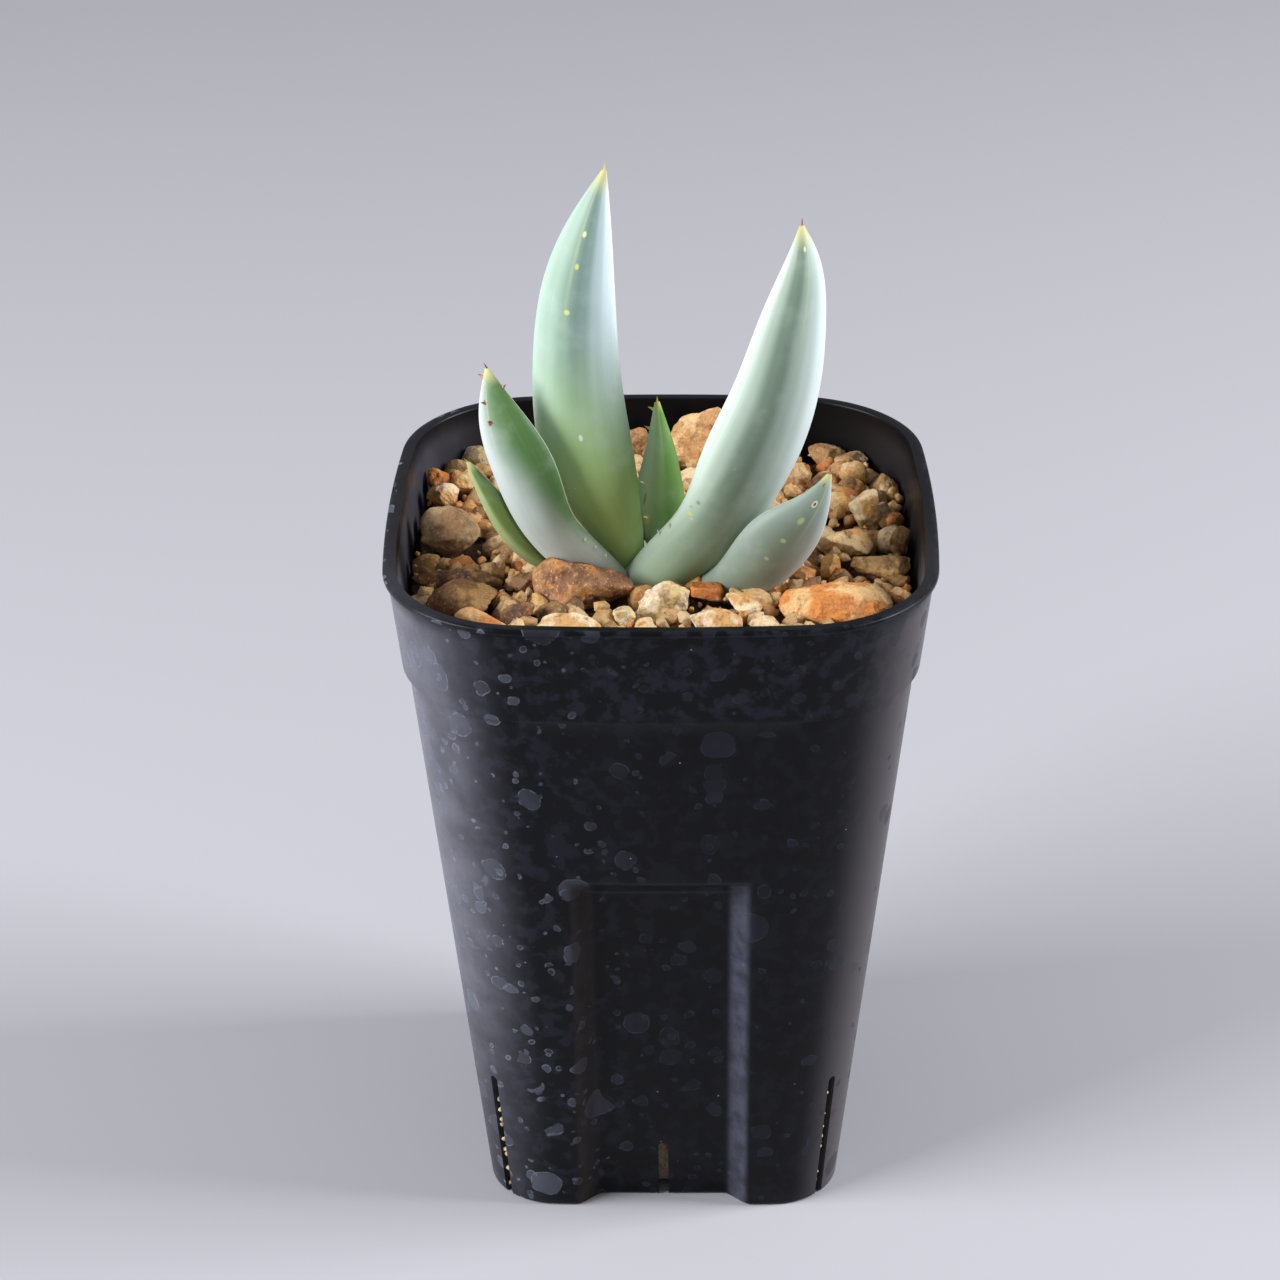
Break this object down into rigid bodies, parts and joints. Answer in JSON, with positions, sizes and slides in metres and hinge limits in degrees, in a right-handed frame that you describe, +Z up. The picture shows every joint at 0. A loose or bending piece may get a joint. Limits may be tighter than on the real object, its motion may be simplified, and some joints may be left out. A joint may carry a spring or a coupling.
{
  "type": "potted aloe",
  "caption": "Young blue-green aloe with curved keeled leaves rising from grit in a deep, tapered, square black nursery pot with slits at its base.",
  "frame": {"origin": "centre of the pot's flat base, on the surface that it stands on", "axes": "+Z up through the pot's mouth, -Y toward the side that the picture shows, +X to that viewer's right"},
  "size_m": [0.075, 0.075, 0.1518],
  "materials": {
    "pot_plastic": "satin",
    "grit": "matte",
    "stem_tissue": "matte",
    "leaf_blue": "satin",
    "leaf_green": "satin",
    "tan_stone": "matte",
    "cream_stone": "matte",
    "orange_stone": "matte",
    "ochre_stone": "matte",
    "brown_stone": "matte",
    "grey_stone": "matte",
    "olive_stone": "matte"
  },
  "bodies": {
    "root": {"pot": "pot_plastic", "grit_bed": "grit", "stem": "stem_tissue", "leaf_young_centre": "leaf_green", "leaf_tall_left": "leaf_blue", "leaf_tall_right": "leaf_blue", "leaf_mid_left": "leaf_blue", "leaf_low_right": "leaf_blue", "leaf_low_left": "leaf_green", "stone_tan_left": "tan_stone", "stone_orange_far_left": "orange_stone", "stone_cream_left": "cream_stone", "stone_ochre_left": "ochre_stone", "stone_grey_back_left": "grey_stone", "stone_flat_long_left": "brown_stone", "stone_olive_left": "olive_stone", "stone_orange_front_left": "orange_stone", "stone_brown_mid_left": "brown_stone", "stone_brown_small_left": "brown_stone", "stone_brown_front": "brown_stone", "stone_grey_square_front": "grey_stone", "stone_orange_small_front": "orange_stone", "stone_cream_front_left": "cream_stone", "stone_cream_front_right": "cream_stone", "stone_cream_small_front": "cream_stone", "stone_cream_low_right": "cream_stone", "stone_grey_small_front": "grey_stone", "stone_orange_big_right": "orange_stone", "stone_flat_oval_right": "olive_stone", "stone_amber_upright_right": "ochre_stone", "stone_rusty_right": "orange_stone", "stone_orange_crumbly_right": "ochre_stone", "stone_cream_orange_right": "cream_stone", "stone_ochre_right": "ochre_stone", "stone_white_orange_back_right": "cream_stone", "stone_tan_back_right": "tan_stone", "stone_pink_back": "tan_stone", "stone_peach_behind_leaf": "tan_stone", "stone_olive_far_right": "olive_stone", "stone_tan_back_left": "tan_stone", "stone_big_back": "tan_stone"}
  },
  "joints": []
}
